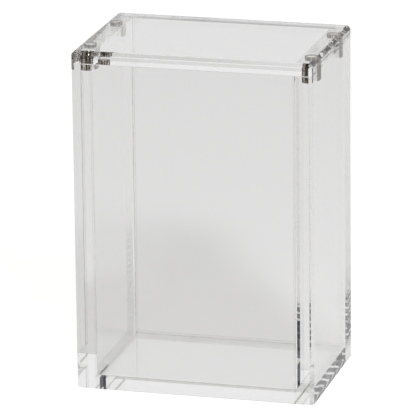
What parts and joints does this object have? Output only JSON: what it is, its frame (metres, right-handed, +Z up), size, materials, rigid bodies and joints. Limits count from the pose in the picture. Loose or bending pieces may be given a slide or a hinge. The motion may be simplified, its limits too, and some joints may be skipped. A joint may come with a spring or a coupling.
{
  "type": "trading card display case",
  "caption": "Tall clear box of glued polished plates for a boxed set of cards, with a flat lift-off lid held by magnet pairs.",
  "frame": {"origin": "middle of the underside, on the surface that the case stands on", "axes": "+Z up along the height, +X to the right across the width, -Y towards the front"},
  "size_m": [0.1, 0.0676, 0.1425],
  "materials": {
    "clear_plate": "clear polished acrylic with bevelled, polished edges",
    "nickel_plating": "bright nickel plating"
  },
  "bodies": {
    "case": {"base_plate": "clear_plate", "front_panel": "clear_plate", "back_panel": "clear_plate", "left_wall": "clear_plate", "right_wall": "clear_plate", "wall_magnet_front_left": "nickel_plating", "wall_magnet_front_right": "nickel_plating", "wall_magnet_rear_left": "nickel_plating", "wall_magnet_rear_right": "nickel_plating"},
    "lid": {"lid_plate": "clear_plate", "lid_magnet_front_left": "nickel_plating", "lid_magnet_front_right": "nickel_plating", "lid_magnet_rear_left": "nickel_plating", "lid_magnet_rear_right": "nickel_plating"}
  },
  "joints": [
    {"name": "lid_lift", "type": "slide", "parent": "case", "child": "lid", "axis": [0, 0, 1], "range_m": [0, 0.1]}
  ]
}
